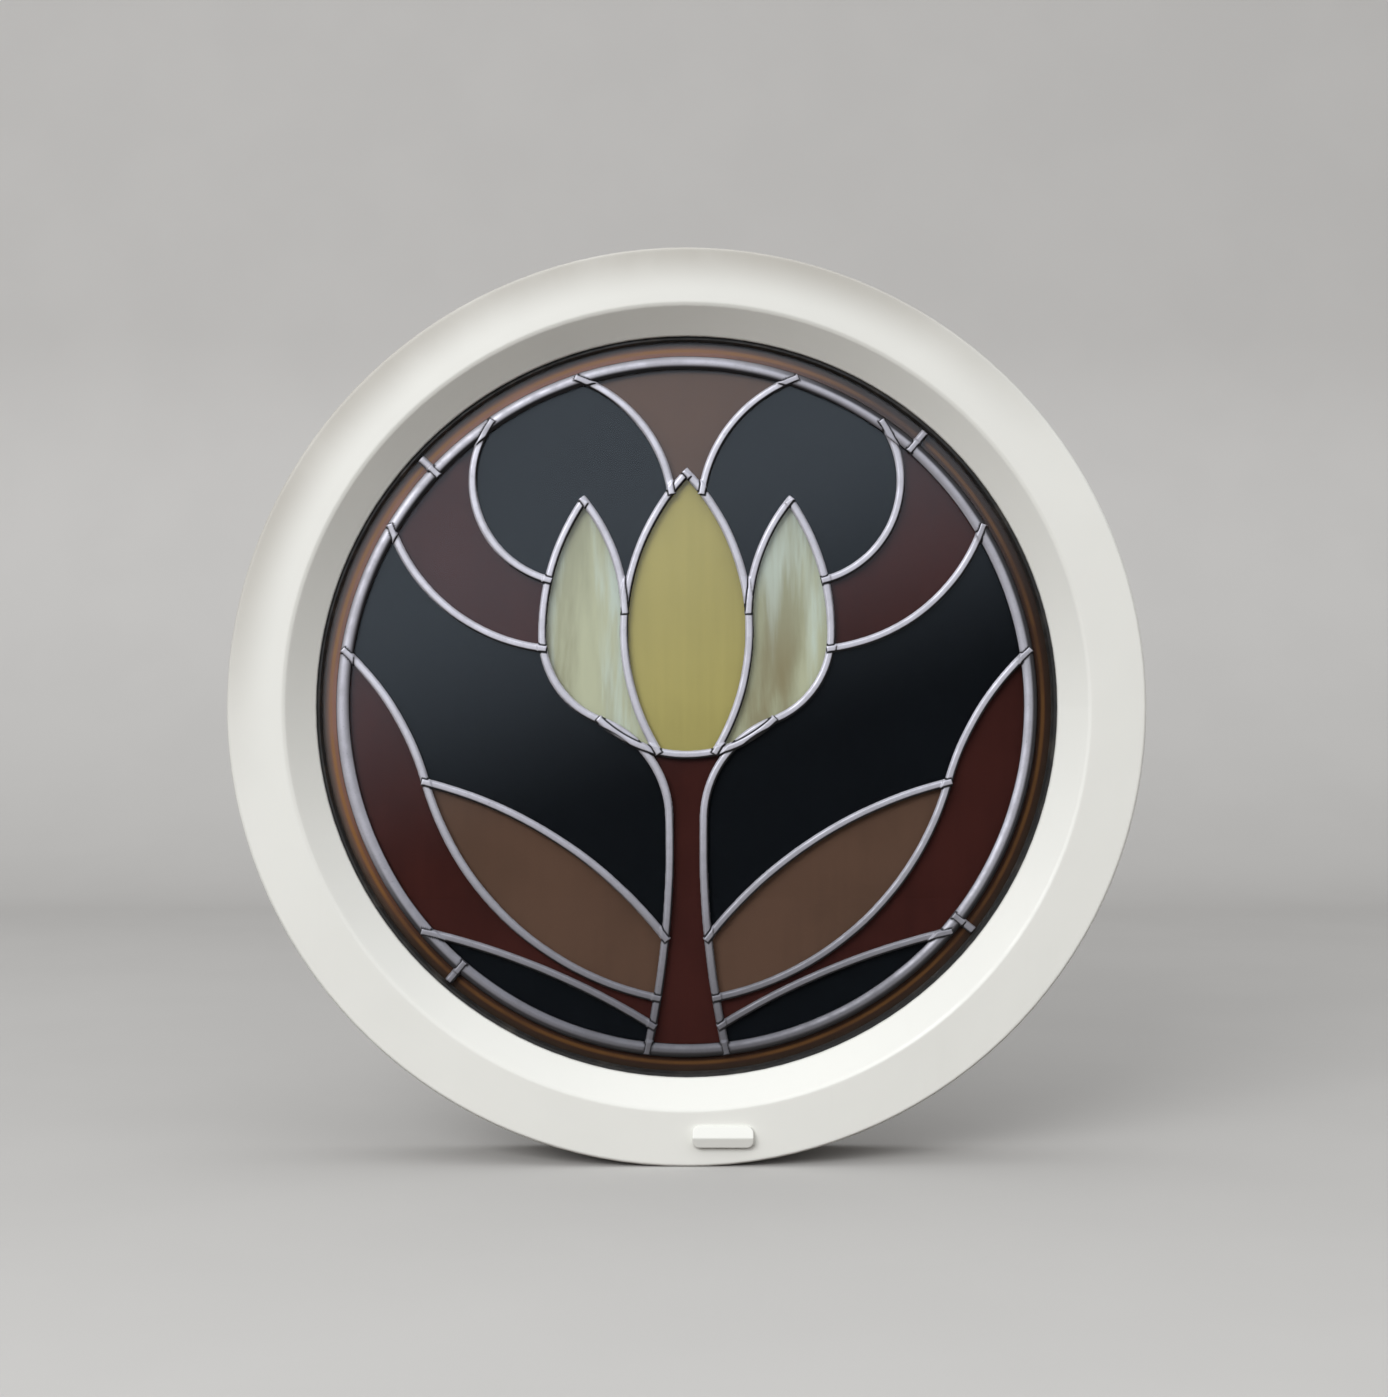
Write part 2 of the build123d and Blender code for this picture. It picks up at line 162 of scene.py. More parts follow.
class StageSettings(bpy.types.PropertyGroup):
    camera_distance: length("Camera's distance from the face of the frame", 1.35)
    view_height: length("Height of the view at the face of the frame", 0.911)
    camera_x: length("Camera to the right of the window's centre", 0.0048)
    camera_z: length("Camera above the window's centre", 0.0055)
    floor_tint: colour("Paper on the floor", (0.54, 0.535, 0.525))
    wall_tint: colour("Paper behind the window", (0.70, 0.695, 0.685))
    paper_grain: colour("Grain of the paper", (0.2, 0.2, 0.2))
    backdrop: colour("Pale surroundings", (0.56, 0.557, 0.547))
    mirrored_sky: colour("Sky in the glass", (0.60, 0.70, 0.83))
    mirrored_ground: colour("Ground in the glass", (0.010, 0.011, 0.014))
    floor_bounce: colour("Light that the paper throws up", (0.080, 0.060, 0.045))
    ground_light: colour("Light from the ground", (0.050, 0.038, 0.028))
    skyline_slant: FloatProperty(
        name="Slant of the skyline in the glass", description="Rise to the right", default=0.35,
    )
    floor_width: length("Width of the paper", 16.0, 40.0)
    floor_front: length("Paper in front of the window", 1.8)
    backdrop_y: length("Backdrop behind the window", 2.6)
    backdrop_bend: length("Radius of the bend from floor to backdrop", 1.0)
    backdrop_height: length("Height of the backdrop", 4.0)
    key_power: FloatProperty(
        name="Key light", description="Power of the key light", default=107.0, unit="POWER",
    )
    key_width: length("Width of the key light", 2.6)
    key_height: length("Height of the key light", 1.8)
    key_place: FloatVectorProperty(
        name="Place of the key light", description="Place of the key light",
        default=(-1.8, -3.55, 1.85), size=3, subtype="TRANSLATION", unit="LENGTH",
    )
    sky_light: colour("Light from the sky", (1.0, 1.0, 1.0))
    fill: FloatProperty(
        name="Sky strength", description="Strength of the light from the sky", default=0.99,
    )


GROUPS = {
    "window_plastic": PlasticSettings,
    "window_rubber": RubberSettings,
    "window_glass": GlassSettings,
    "window_lead": LeadSettings,
    "window_film": FilmSettings,
    "window_stage": StageSettings,
}


class Nodes:
    """A node tree under way, of a material or the world, with the few kinds of node it needs."""

    def __init__(self, tree):
        self.tree = tree

    def add(self, kind, **settings):
        node = self.tree.nodes.new(kind)
        for key, value in settings.items():
            setattr(node, key, value)
        return node

    def link(self, source, target):
        """Sets a socket: from another socket, or to a plain value."""
        if isinstance(source, bpy.types.NodeSocket):
            self.tree.links.new(source, target)
        elif target.type == "RGBA" and len(source) == 3:
            target.default_value = (*source, 1.0)
        else:
            target.default_value = source

    def math(self, operation, one, two=0.0):
        node = self.add("ShaderNodeMath", operation=operation)
        self.link(one, node.inputs[0])
        self.link(two, node.inputs[1])
        return node.outputs[0]

    def times(self, one, two):
        return self.math("MULTIPLY", one, two)

    def highest(self, first, *others):
        for other in others:
            first = self.math("MAXIMUM", first, other)
        return first

    def span(self, value, low, high, to_low=0.0, to_high=1.0):
        """The value's place between two limits, smoothed and clamped."""
        node = self.add("ShaderNodeMapRange", interpolation_type="SMOOTHSTEP")
        for socket, number in zip(node.inputs, (value, low, high, to_low, to_high)):
            self.link(number, socket)
        return node.outputs[0]

    def mix(self, share, one, two):
        node = self.add("ShaderNodeMix", data_type="RGBA")
        self.link(share, node.inputs[0])
        self.link(one, node.inputs[6])
        self.link(two, node.inputs[7])
        return node.outputs[2]

    def part(self, vector, letter):
        """One part of a vector: its X, Y or Z."""
        node = self.add("ShaderNodeSeparateXYZ")
        self.link(vector, node.inputs[0])
        return node.outputs[letter]


class Finish(Nodes):
    """A material under way, on the coordinates of its object."""

    def __init__(self, name, **sockets):
        self.material = bpy.data.materials.new(name)
        self.material.use_nodes = True
        super().__init__(self.material.node_tree)
        self.shader = self.tree.nodes["Principled BSDF"]
        self.output = self.tree.nodes["Material Output"]
        self.place = self.add("ShaderNodeTexCoord").outputs["Object"]
        self.set(**sockets)

    def set(self, **sockets):
        """Sets sockets of the shader, with _ for the spaces in their names."""
        for socket, value in sockets.items():
            self.link(value, self.shader.inputs[socket.replace("_", " ")])

    def noise(
        self, scale, detail=3.0, roughness=0.5, stretch=(1, 1, 1), turn=(0, 0, 0), warp=0.0,
    ):
        mapping = self.add("ShaderNodeMapping")
        mapping.inputs["Scale"].default_value = stretch
        mapping.inputs["Rotation"].default_value = turn
        self.link(self.place, mapping.inputs["Vector"])
        node = self.add("ShaderNodeTexNoise")
        self.link(mapping.outputs[0], node.inputs["Vector"])
        node.inputs["Scale"].default_value = scale
        node.inputs["Detail"].default_value = detail
        node.inputs["Roughness"].default_value = roughness
        node.inputs["Distortion"].default_value = warp
        return node.outputs["Fac"]

    def axis(self, letter):
        """The place along one axis of the object."""
        return self.part(self.place, letter)

    def radius(self):
        """Distance from the window's axis."""
        x, z = self.axis("X"), self.axis("Z")
        return self.math("SQRT", self.math("ADD", self.times(x, x), self.times(z, z)))

    def upper_left(self, left, up):
        """How far a point lies to the upper left, where the light comes from."""
        height = self.times(self.axis("Z"), up)
        return self.math("SUBTRACT", height, self.times(self.axis("X"), left))

    def bump(self, height, depth, strength=1.0, normal=None):
        node = self.add("ShaderNodeBump")
        if normal:
            self.link(normal, node.inputs["Normal"])
        node.inputs["Distance"].default_value = depth
        node.inputs["Strength"].default_value = strength
        self.link(height, node.inputs["Height"])
        self.set(Normal=node.outputs[0])


def white_pvc(values):
    """White PVC-u: satin, faintly uneven, grimy by the gasket, grimy with painted shade at the
    upper rim.
    """
    pvc = Finish("white_pvc", Roughness=0.36, IOR=1.5)
    cloud = pvc.noise(9.0, detail=5.0)
    radius = pvc.radius()
    # Grime and painted shade on the rim, most at the top and towards the left
    rim = pvc.span(radius, FRAME_R - values.grime_and_shade_band, FRAME_R)
    upper_rim = pvc.times(rim, pvc.span(pvc.upper_left(0.4, 0.92), 0.03, 0.24))
    rim_grime_and_shade = pvc.times(upper_rim, pvc.span(cloud, 0.25, 0.60, 0.42, 0.66))
    corner = pvc.span(radius, SIGHT_R + 0.0005, SIGHT_R + 0.005, 1.0, 0.0)
    specks = pvc.span(pvc.noise(60.0, detail=6.0), 0.38, 0.66, 0.0, 0.30)
    runs = pvc.noise(28.0, detail=5.0, roughness=0.7, stretch=(1.0, 1.0, 0.12), warp=0.4)
    run_grime = pvc.span(runs, 0.58, 0.85, 0.0, 0.07)
    # All the grime, with the painted shade at the upper rim
    grime_and_shade = pvc.highest(rim_grime_and_shade, pvc.times(corner, specks), run_grime)
    clean = pvc.mix(pvc.span(cloud, 0.35, 0.65), values.white, [0.975 * c for c in values.white])
    pvc.set(Base_Color=pvc.mix(grime_and_shade, clean, values.grime_and_shade))
    pvc.set(Roughness=pvc.span(pvc.noise(35.0), 0.30, 0.70, 0.30, 0.44))
    peel = pvc.math("ADD", pvc.noise(25.0), pvc.times(pvc.noise(900.0), 0.05))
    edges = pvc.add("ShaderNodeBevel", samples=6)
    edges.inputs["Radius"].default_value = values.edge_round
    pvc.bump(peel, 0.0004, 0.35, edges.outputs[0])
    return pvc.material


def gasket_rubber(values):
    """Black gasket rubber with dust in its texture."""
    rubber = Finish("black_gasket", Roughness=0.55)
    dust = rubber.span(rubber.noise(55.0, detail=6.0, roughness=0.65), 0.48, 0.80, 0.0, 0.5)
    rubber.set(Base_Color=rubber.mix(dust, values.black, values.dust))
    rubber.set(Roughness=rubber.span(rubber.noise(90.0), 0.3, 0.7, 0.42, 0.66))
    rubber.bump(rubber.noise(1500.0, detail=2.0), 0.00006, 0.6)
    return rubber.material


def clear_glass(values):
    """Float glass: faintly green, with the bloom that rain leaves.

    Light passes straight through it to and from the films, so that daylight reaches them.
    """
    glass = Finish("clear_glass", Roughness=0.0, IOR=1.46, Transmission_Weight=1.0)
    runs = glass.noise(14.0, detail=5.0, roughness=0.6, stretch=(1.0, 1.0, 0.25))
    glass.set(Base_Color=glass.mix(glass.span(runs, 0.35, 0.75), values.clean, values.bloom))
    clear = glass.add("ShaderNodeBsdfTransparent")
    glass.link(values.passing, clear.inputs["Color"])
    ray = glass.add("ShaderNodeLightPath")
    to_behind = glass.highest(ray.outputs["Is Shadow Ray"], ray.outputs["Is Diffuse Ray"])
    both = glass.add("ShaderNodeMixShader")
    glass.link(to_behind, both.inputs[0])
    glass.link(glass.shader.outputs[0], both.inputs[1])
    glass.link(clear.outputs[0], both.inputs[2])
    glass.link(both.outputs[0], glass.output.inputs["Surface"])
    return glass.material


def plain_polymer(name, tint, roughness):
    """Moulded or pumped plastic inside the window: one colour with slight mottling."""
    polymer = Finish(name, Roughness=roughness)
    mottled = polymer.span(polymer.noise(70.0, detail=4.0), 0.35, 0.65)
    polymer.set(Base_Color=polymer.mix(mottled, tint, [0.75 * c for c in tint]))
    polymer.bump(polymer.noise(400.0), 0.0001, 0.5)
    return polymer.material


def weathered_lead(values):
    """Lead strip: pale, with painted shade towards the bottom of the window, on the sides
    away from the light, at the foot by the glass and in the seams of laps.

    The ring has painted shade on its outer flank too, but for the part towards the light.
    """
    lead = Finish("weathered_lead", Metallic=0.45, Roughness=0.5)
    bloom = lead.noise(85.0, detail=5.0, roughness=0.6)
    spots = lead.noise(900.0, detail=3.0)
    pale = lead.mix(lead.span(bloom, 0.32, 0.68), values.bloom, [0.84 * c for c in values.bloom])
    pale = lead.mix(lead.span(spots, 0.60, 0.80, 0.0, 0.30), pale, values.dark)
    # Painted shade: the lead darker towards the bottom of the window
    low = lead.span(lead.axis("Z"), *SHADE_LOW_HEIGHT, 0.90, 0.0)
    radius = lead.radius()
    dull_ring = lead.span(radius, *DULL_RING_R, 0.0, 0.26)
    pale = lead.mix(lead.highest(low, dull_ring), pale, values.dark)
    # Painted shade at the foot of each strip, by the glass
    foot_shade = lead.span(lead.axis("Y"), *FOOT_DEPTH)
    # Painted shade on the sides that face away from the light
    facing = lead.add("ShaderNodeVectorMath", operation="DOT_PRODUCT")
    lead.link(lead.add("ShaderNodeNewGeometry").outputs["Normal"], facing.inputs[0])
    lead.link(SHADED_SIDE, facing.inputs[1])
    underside_shade = lead.span(facing.outputs["Value"], 0.10, 0.42)
    # Painted shade in the seams where strips lap
    seam = lead.add("ShaderNodeAttribute", attribute_name="seam").outputs["Fac"]
    on_ring = lead.add("ShaderNodeAttribute", attribute_name="ring").outputs["Fac"]
    # Painted shade on the ring's outer flank, but for the part towards the light
    flank_shade = lead.times(
        lead.span(radius, *OUTER_FLANK_R, 0.0, 0.92),
        lead.span(lead.upper_left(1.0, 0.8), 0.06, 0.17, 1.0, 0.0),
    )
    # All the painted shade on the lead
    dark = lead.highest(foot_shade, underside_shade, seam, lead.times(flank_shade, on_ring))
    lead.set(Base_Color=lead.mix(dark, pale, values.dark))
    lead.set(Roughness=lead.span(bloom, 0.30, 0.70, 0.40, 0.56))
    rubbed = lead.math("ADD", lead.noise(120.0, detail=3.0), lead.times(spots, 0.15))
    lead.bump(rubbed, 0.0002, 0.30)
    return lead.material


def film(name, tint, cloud_scale=14.0, depth=0.88):
    """Coloured film: an even colour with slight clouding and fine upright lines."""
    sheet = Finish(name, Roughness=0.5, Specular_IOR_Level=0.04)
    cloud = sheet.noise(cloud_scale, detail=4.0, roughness=0.5, warp=0.3)
    lines = sheet.noise(150.0, detail=3.0, stretch=(1.0, 1.0, 0.06))
    share = sheet.math("ADD", sheet.times(cloud, 0.75), sheet.times(lines, 0.25))
    sheet.set(Base_Color=sheet.mix(sheet.span(share, 0.36, 0.64), tint, [depth * c for c in tint]))
    sheet.set(Roughness=sheet.span(lines, 0.3, 0.7, 0.42, 0.58))
    return sheet.material


def opal_film(values):
    """Cream opalescent film: milky, with slanting streaks that turn brown low down."""
    opal = Finish("cream_film", Roughness=0.5, Specular_IOR_Level=0.04)
    slant = (0.0, math.radians(14), 0.0)
    veil = opal.noise(
        24.0, detail=6.0, roughness=0.55, stretch=(1.0, 1.0, 0.16), turn=slant, warp=0.25,
    )
    wisps = opal.noise(
        55.0, detail=4.0, roughness=0.6, stretch=(1.0, 1.0, 0.10), turn=slant, warp=0.15,
    )
    milk = opal.mix(opal.span(veil, 0.38, 0.62), values.cream, [0.72 * c for c in values.cream])
    milk = opal.mix(opal.span(wisps, 0.46, 0.66, 0.0, 0.85), milk, values.wisp)
    low = opal.span(opal.axis("Z"), -0.01, 0.10, 1.0, 0.15)
    brown = opal.times(opal.span(veil, 0.44, 0.64), low)
    opal.set(Base_Color=opal.mix(brown, milk, values.streak))
    return opal.material


def border_film(values):
    """Brown border: reddish by the ring, grey by the gasket, with painted shade away from the
    light.

    A painted amber glint runs round it, brighter towards the light, and stays to be seen in the
    shaded part.
    """
    border = Finish("brown_film", Roughness=0.5, Specular_IOR_Level=0.04)
    radius = border.radius()
    cloud = border.noise(24.0, detail=5.0)
    deeper = [0.8 * c for c in values.border]
    reddish = border.mix(border.span(cloud, 0.35, 0.65), values.border, deeper)
    outer = border.span(radius, values.amber_r - 0.0005, values.amber_r + 0.0045)
    base = border.mix(outer, reddish, values.border_edge)
    off_line = border.math("ABSOLUTE", border.math("SUBTRACT", radius, values.amber_r))
    on_line = border.span(off_line, 0.0003, 0.0020, 1.0, 0.0)
    upper_left = border.upper_left(1.0, 0.8)
    # Painted shade on the border away from the light
    shade_away_from_light = border.span(upper_left, 0.03, 0.20, 0.85, 0.0)
    base = border.mix(shade_away_from_light, base, values.border_dark)
    # Painted glint along the border, patchy and brighter towards the light
    patchy = border.times(on_line, border.span(cloud, 0.30, 0.60, 0.3, 0.9))
    amber_glint = border.times(patchy, border.span(upper_left, 0.03, 0.20, 0.4, 1.0))
    border.set(Base_Color=border.mix(amber_glint, base, values.amber_glint))
    return border.material


def dress(nodes, material):
    """Gives CAD nodes a finish."""
    for name in nodes:
        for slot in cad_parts[name].material_slots:
            slot.material = material


def finished(bm, name, material):
    """A new object at the origin from a mesh under way."""
    mesh = bpy.data.meshes.new(name)
    bm.to_mesh(mesh)
    bm.free()
    mesh.materials.append(material)
    piece = bpy.data.objects.new(name, mesh)
    bpy.context.scene.collection.objects.link(piece)
    return piece


def softened(node, grain, name, material):
    """A piece in the form of a CAD node, with its edges rounded off by remeshing at a grain."""
    bm = bmesh.new()
    bm.from_mesh(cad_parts[node].data)
    bmesh.ops.remove_doubles(bm, verts=bm.verts, dist=WELD)
    piece = finished(bm, name, material)
    remesh = piece.modifiers.new("Rounded", "REMESH")
    remesh.mode = "VOXEL"
    remesh.voxel_size = grain * 1
    evaluated = piece.evaluated_get(bpy.context.evaluated_depsgraph_get())
    worn = bpy.data.meshes.new_from_object(evaluated)
    drop_crumbs(worn)
    piece.modifiers.clear()
    piece.data = worn
    if not worn.materials:
        worn.materials.append(material)
    return piece


def drop_crumbs(mesh, fewest=50):
    """Deletes the loose voxels that remeshing can leave beside a piece."""
    bm = bmesh.new()
    bm.from_mesh(mesh)
    unseen = set(bm.verts)
    crumbs = []
    for start in bm.verts:
        if start not in unseen:
            continue
        unseen.remove(start)
        island = [start]
        for vert in island:
            for edge in vert.link_edges:
                other = edge.other_vert(vert)
                if other in unseen:
                    unseen.remove(other)
                    island.append(other)
        if len(island) < fewest:
            crumbs += island
    bmesh.ops.delete(bm, geom=crumbs, context="VERTS")
    bm.to_mesh(mesh)
    bm.free()


def relax(piece, rounds, sway=0.0, ahead_of=math.inf):
    """Smooths a piece, or its part ahead of a plane, and sways it as handwork is uneven."""
    bm = bmesh.new()
    bm.from_mesh(piece.data)
    soft = [vert for vert in bm.verts if vert.co.y < ahead_of]
    for _ in range(rounds):
        bmesh.ops.smooth_vert(
            bm, verts=soft, factor=0.5, use_axis_x=True, use_axis_y=True, use_axis_z=True,
        )
    if sway:
        noise.seed_set(SWAY_SEED)
        for vert in bm.verts:
            shift = noise.noise_vector(vert.co * SWAY_SCALE) * sway
            vert.co += Vector((shift.x, 0.0, shift.z))
    for face in bm.faces:
        face.smooth = True
    bm.to_mesh(piece.data)
    bm.free()


def lead_ring(values, material):
    """The closed ring of lead: its section, rounded at the crown, spun about the window's axis."""
    low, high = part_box("lead_ring")
    middle = high.x - values.ring_width / 2
    section = (
        (middle - values.ring_width / 2, high.y), (middle + values.ring_width / 2, high.y),
        (middle + values.crown_width / 2, low.y), (middle - values.crown_width / 2, low.y),
    )
    bm = bmesh.new()
    corners = [bm.verts.new((r, y, 0.0)) for r, y in section]
    bm.faces.new(corners)
    bmesh.ops.bevel(
        bm, geom=corners[2:], offset=values.roundness, offset_type="OFFSET", affect="VERTICES",
        segments=5, profile=0.5, material=-1, clamp_overlap=True,
    )
    bmesh.ops.delete(bm, geom=bm.faces, context="FACES_ONLY")
    bmesh.ops.spin(
        bm, geom=[*bm.verts, *bm.edges], cent=(0, 0, 0), axis=(0, 1, 0), dvec=(0, 0, 0),
        angle=math.tau, steps=RING_STEPS, use_merge=True, use_normal_flip=False,
        use_duplicate=False,
    )
    bmesh.ops.remove_doubles(bm, verts=bm.verts, dist=WELD)
    bmesh.ops.recalc_face_normals(bm, faces=bm.faces)
    is_ring = bm.verts.layers.float.new("ring")
    for vert in bm.verts:
        vert[is_ring] = 1.0
    return finished(bm, "rounded_lead_ring", material)


def mark_seam_shade(piece, others, width):
    """Keeps on each point how close another strip is, for painted shade in the seams of laps."""
    bm = bmesh.new()
    for node in others:
        bm.from_mesh(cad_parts[node].data)
    near = BVHTree.FromBMesh(bm)
    bm.free()
    lap_top = min(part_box(node)[0].y for node in LEAD_NODES)
    seam = piece.data.attributes.new("seam", "FLOAT", "POINT")
    for vert, mark in zip(piece.data.vertices, seam.data):
        distance = near.find_nearest(vert.co, width)[3]
        if distance is not None:
            closeness = 1.0 - max(0.0, 2 * distance / width - 1.0)
            below_crown = (vert.co.y - lap_top - SEAM_BELOW_CROWN) / SEAM_FADE
            mark.value = closeness * min(1.0, max(0.0, below_crown))


def body_piece(piece, replaced):
    """Puts a piece on the root body, and hides the node that it stands for."""
    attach(piece, "root")
    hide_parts(replaced)


class WindowOperator:
    """What every operator of this window shares."""

    bl_options = {"REGISTER", "UNDO"}


class WINDOW_OT_plastic(WindowOperator, bpy.types.Operator):
    """Finish the white frame, its glazing beads and the packers"""

    bl_idname = "window.plastic"
    bl_label = "White plastic"

    def execute(self, context):
        values = context.scene.window_plastic
        dress(("frame", "glazing_bead_left", "glazing_bead_right"), white_pvc(values))
        dress(("glazing_packers",), plain_polymer("packer_plastic", values.packer, roughness=0.5))
        return {"FINISHED"}


class WINDOW_OT_rubber(WindowOperator, bpy.types.Operator):
    """Finish the gaskets, the spacer and the edge sealant"""

    bl_idname = "window.rubber"
    bl_label = "Gaskets and edge seal"

    def execute(self, context):
        values = context.scene.window_rubber
        dress(("outer_gasket", "bead_gasket"), gasket_rubber(values))
        dress(("spacer_bar",), plain_polymer("spacer_foam", values.black, roughness=0.7))
        dress(("edge_sealant",), plain_polymer("edge_sealant", values.black, roughness=0.6))
        return {"FINISHED"}


class WINDOW_OT_panes(WindowOperator, bpy.types.Operator):
    """Finish the two panes of the sealed unit"""

    bl_idname = "window.panes"
    bl_label = "Panes"

    def execute(self, context):
        dress(("outer_pane", "inner_pane"), clear_glass(context.scene.window_glass))
        return {"FINISHED"}


class WINDOW_OT_films(WindowOperator, bpy.types.Operator):
    """Finish the coloured films behind the outer pane"""

    bl_idname = "window.films"
    bl_label = "Coloured films"

    def execute(self, context):
        values = context.scene.window_film
        smoke = film("smoke_film", values.smoke)
        dress(("film_side_skies", "film_upper_skies", "film_ground"), smoke)
        maroon = film("maroon_film", values.maroon, depth=0.8)
        dress(("film_stem", "film_ribbons", "film_hills"), maroon)
        dress(("film_leaves", "film_crown"), film("taupe_film", values.taupe))
        dress(("film_heart",), film("yellow_film", values.yellow, cloud_scale=7.0))
        dress(("film_petals",), opal_film(values))
        dress(("film_border",), border_film(values))
        return {"FINISHED"}


class WINDOW_OT_leads(WindowOperator, bpy.types.Operator):
    """Make the lead strips, rounded and rubbed down over each other at their joints"""

    bl_idname = "window.leads"
    bl_label = "Lead strips"

    def execute(self, context):
        values = context.scene.window_lead
        material = weathered_lead(values)
        for node in LEAD_NODES:
            if node == "lead_ring":
                strip = lead_ring(values, material)
                relax(strip, 0, sway=values.unevenness)
            else:
                strip = softened(node, values.grain, f"worn_{node}", material)
                relax(strip, STRIP_ROUNDS, sway=values.unevenness)
            mark_seam_shade(strip, [n for n in LEAD_NODES if n != node], values.seam)
            body_piece(strip, node)
        return {"FINISHED"}


class WINDOW_OT_drain_cap(WindowOperator, bpy.types.Operator):
    """Make the drain cap, its moulded edges rounded"""

    bl_idname = "window.drain_cap"
    bl_label = "Drain cap"

    def execute(self, context):
        values = context.scene.window_plastic
        material = bpy.data.materials["white_pvc"]
        cap = softened("drain_cap", values.cap_grain, "moulded_drain_cap", material)
        relax(cap, CAP_ROUNDS, ahead_of=CAP_FRONT)
        body_piece(cap, "drain_cap")
        return {"FINISHED"}


class WINDOW_OT_stage(WindowOperator, bpy.types.Operator):
    """Make the floor, the backdrop, the lamp, the sky and the camera"""

    bl_idname = "window.stage"
    bl_label = "Stage"

    def execute(self, context):
        values = context.scene.window_stage
        paper_sweep(values)
        sky(context.scene, values)
        key_light(values)
        camera(context.scene, values)
        return {"FINISHED"}


def paper_sweep(values):
    """Floor and backdrop in one sheet of paper, bent up behind the window."""
    floor_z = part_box("frame")[0].z
    half = values.floor_width / 2
    bend_y = values.backdrop_y - values.backdrop_bend
    bm = bmesh.new()
    front = [bm.verts.new((side * half, -values.floor_front, floor_z)) for side in (-1, 1)]
    edge = bm.edges.new(front)
    floor = bmesh.ops.extrude_edge_only(bm, edges=[edge])["geom"]
    back = [item for item in floor if isinstance(item, bmesh.types.BMVert)]
    bmesh.ops.translate(bm, verts=back, vec=(0, bend_y + values.floor_front, 0))
    edge = [item for item in floor if isinstance(item, bmesh.types.BMEdge)]
    bend = bmesh.ops.spin(
        bm, geom=back + edge, cent=(0, bend_y, floor_z + values.backdrop_bend), axis=(1, 0, 0),
        dvec=(0, 0, 0), angle=math.radians(90), steps=BEND_STEPS, use_merge=False,
        use_normal_flip=False, use_duplicate=False,
    )
    last = [item for item in bend["geom_last"] if isinstance(item, bmesh.types.BMEdge)]
    wall = bmesh.ops.extrude_edge_only(bm, edges=last)["geom"]
    top = [item for item in wall if isinstance(item, bmesh.types.BMVert)]
    bmesh.ops.translate(bm, verts=top, vec=(0, 0, values.backdrop_height - values.backdrop_bend))
    bmesh.ops.recalc_face_normals(bm, faces=bm.faces)
    for face in bm.faces:
        face.smooth = True
    return finished(bm, "paper_sweep", pale_paper(values, floor_z))


def pale_paper(values, floor_z):
    """Pale paper that throws little light up.

    Metal and glass show it pale too, but the paper in front of the window as dark ground.
    """
    paper = Finish("pale_paper", Roughness=0.85, Specular_IOR_Level=0.0)
    grain = paper.span(paper.noise(6.0, detail=4.0), 0.3, 0.7, 0.0, 0.03)
    height = paper.span(paper.axis("Z"), floor_z, floor_z + values.backdrop_bend)
    tint = paper.mix(height, values.floor_tint, values.wall_tint)
    tint = paper.mix(grain, tint, values.paper_grain)
    ray = paper.add("ShaderNodeLightPath")
    mirrored = paper.highest(ray.outputs["Is Glossy Ray"], ray.outputs["Is Transmission Ray"])
    behind_edge = paper.times(mirrored, paper.span(paper.axis("Y"), *MIRRORED_PAPER_Y))
    looks = paper.highest(ray.outputs["Is Camera Ray"], behind_edge)
    bounce = paper.mix(mirrored, values.floor_bounce, values.mirrored_ground)
    paper.set(Base_Color=paper.mix(looks, bounce, tint))
    return paper.material


def sky(scene, values):
    """Soft light, most of it from above. It looks pale, and glass mirrors it as sky and ground."""
    world = bpy.data.worlds.new("soft_sky")
    world.use_nodes = True
    scene.world = world
    nodes = Nodes(world.node_tree)
    view = nodes.add("ShaderNodeTexCoord").outputs["Generated"]
    height = nodes.part(view, "Z")
    overhead = [values.fill * c for c in values.sky_light]
    light = nodes.mix(nodes.span(height, *LIGHT_RISE), values.ground_light, overhead)
    slant = nodes.times(nodes.part(view, "X"), -values.skyline_slant)
    above = nodes.span(nodes.math("ADD", height, slant), *SKYLINE)
    mirrored = nodes.mix(above, values.mirrored_ground, values.mirrored_sky)
    ray = nodes.add("ShaderNodeLightPath")
    shown = nodes.mix(ray.outputs["Is Glossy Ray"], light, mirrored)
    shown = nodes.mix(ray.outputs["Is Transmission Ray"], shown, mirrored)
    shown = nodes.mix(ray.outputs["Is Camera Ray"], shown, values.backdrop)
    nodes.link(shown, world.node_tree.nodes["Background"].inputs["Color"])


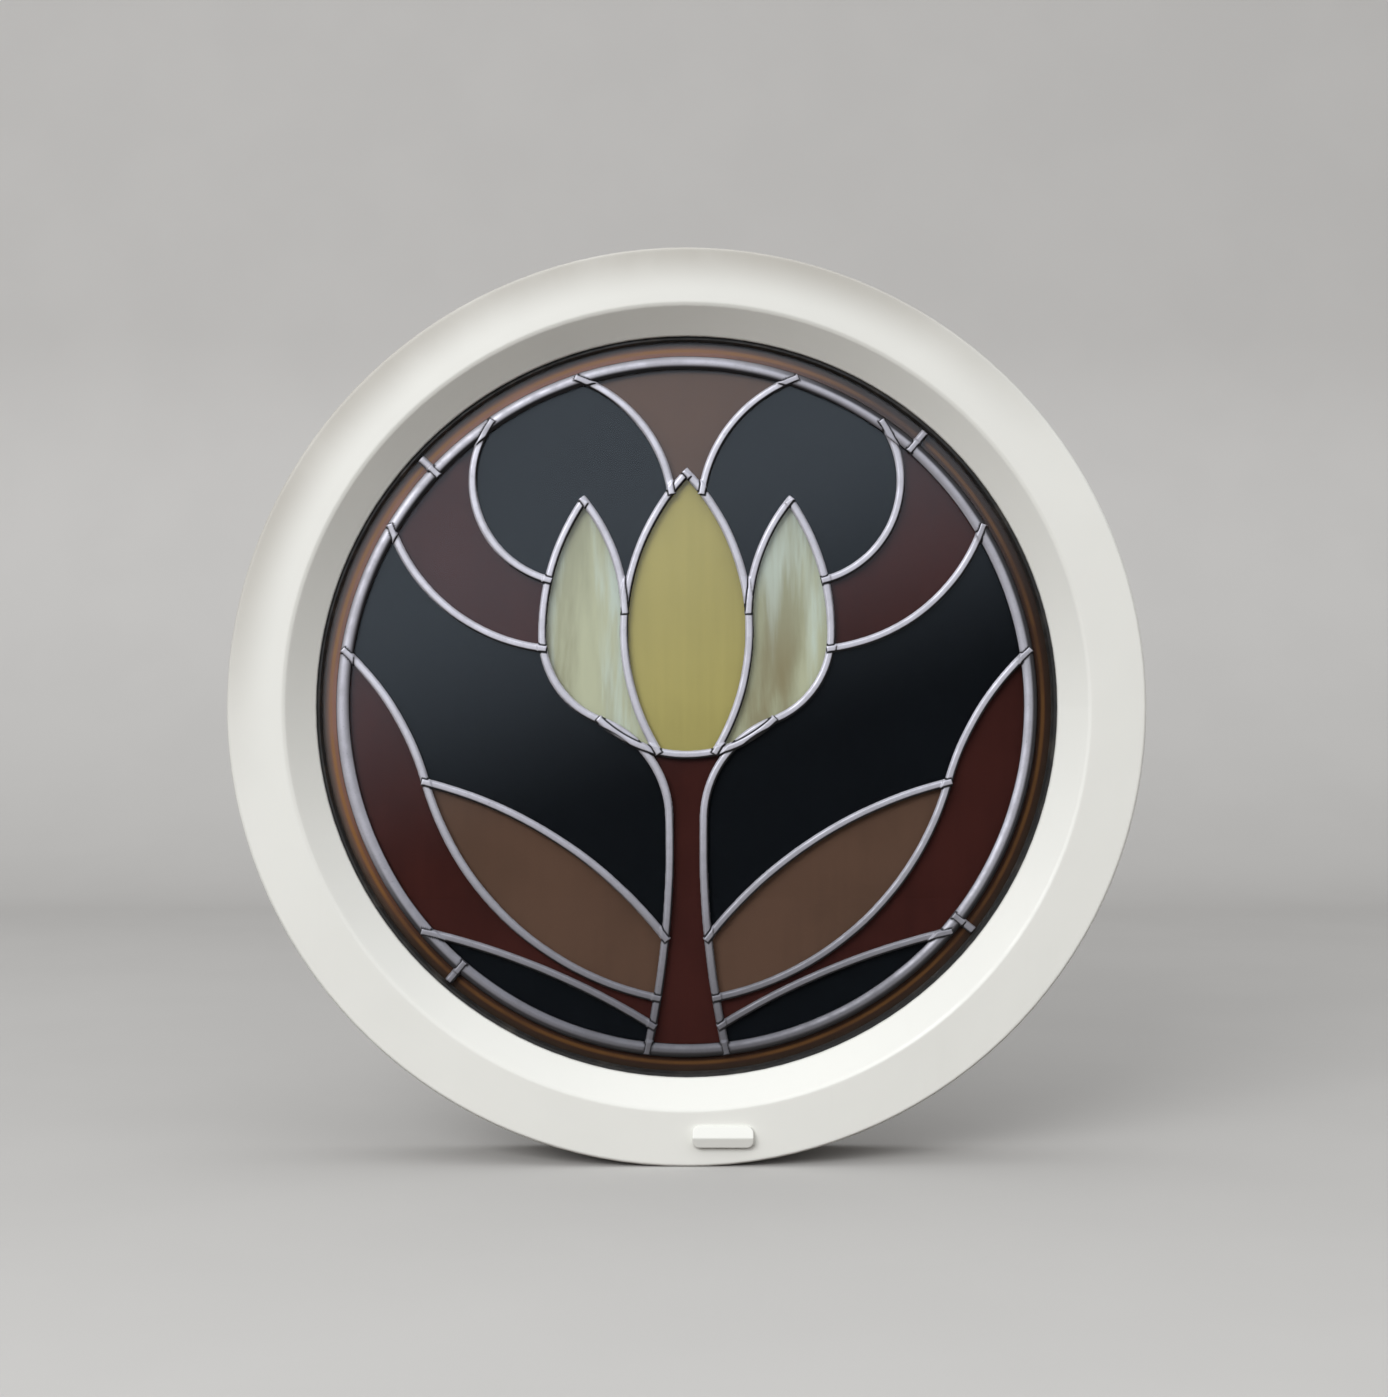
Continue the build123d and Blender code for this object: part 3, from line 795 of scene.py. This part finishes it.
def key_light(values):
    """One large soft lamp above, in front and a little to the left."""
    lamp = bpy.data.lights.new("key_light", "AREA")
    lamp.shape = "RECTANGLE"
    lamp.size = values.key_width
    lamp.size_y = values.key_height
    lamp.energy = values.key_power
    holder = bpy.data.objects.new("key_light", lamp)
    holder.location = values.key_place
    holder.rotation_euler = (-holder.location).to_track_quat("-Z", "Y").to_euler()
    bpy.context.scene.collection.objects.link(holder)


def camera(scene, values):
    """Level with the window and square to it, as in the photograph."""
    data = bpy.data.cameras.new("photo_camera")
    data.lens = data.sensor_width * values.camera_distance / values.view_height
    holder = bpy.data.objects.new("photo_camera", data)
    holder.location = (values.camera_x, FRONT - values.camera_distance, values.camera_z)
    holder.rotation_euler = (math.radians(90), 0, 0)
    scene.collection.objects.link(holder)
    scene.camera = holder


class WINDOW_PT_panel(bpy.types.Panel):
    """Lists the pieces of the window, with their sizes and colours"""

    bl_idname = "WINDOW_PT_panel"
    bl_label = "Leaded window"
    bl_space_type = "VIEW_3D"
    bl_region_type = "UI"
    bl_category = "Leaded window"

    def draw(self, context):
        for operator in OPERATORS:
            self.layout.operator(operator.bl_idname)
        for group in GROUPS:
            box = self.layout.box()
            for name in GROUPS[group].__annotations__:
                box.prop(getattr(context.scene, group), name)


OPERATORS = (
    WINDOW_OT_stage,
    WINDOW_OT_plastic,
    WINDOW_OT_drain_cap,
    WINDOW_OT_rubber,
    WINDOW_OT_panes,
    WINDOW_OT_films,
    WINDOW_OT_leads,
)


def register():
    for kind in (*GROUPS.values(), *OPERATORS, WINDOW_PT_panel):
        bpy.utils.register_class(kind)
    for name, kind in GROUPS.items():
        setattr(bpy.types.Scene, name, PointerProperty(type=kind))


def unregister():
    for name in GROUPS:
        delattr(bpy.types.Scene, name)
    for kind in reversed((*GROUPS.values(), *OPERATORS, WINDOW_PT_panel)):
        bpy.utils.unregister_class(kind)


def main():
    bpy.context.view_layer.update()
    register()
    bpy.context.scene.view_settings.view_transform = "Standard"
    bpy.ops.window.stage()
    bpy.ops.window.plastic()
    bpy.ops.window.drain_cap()
    bpy.ops.window.rubber()
    bpy.ops.window.panes()
    bpy.ops.window.films()
    bpy.ops.window.leads()


if __name__ == "__main__":
    main()
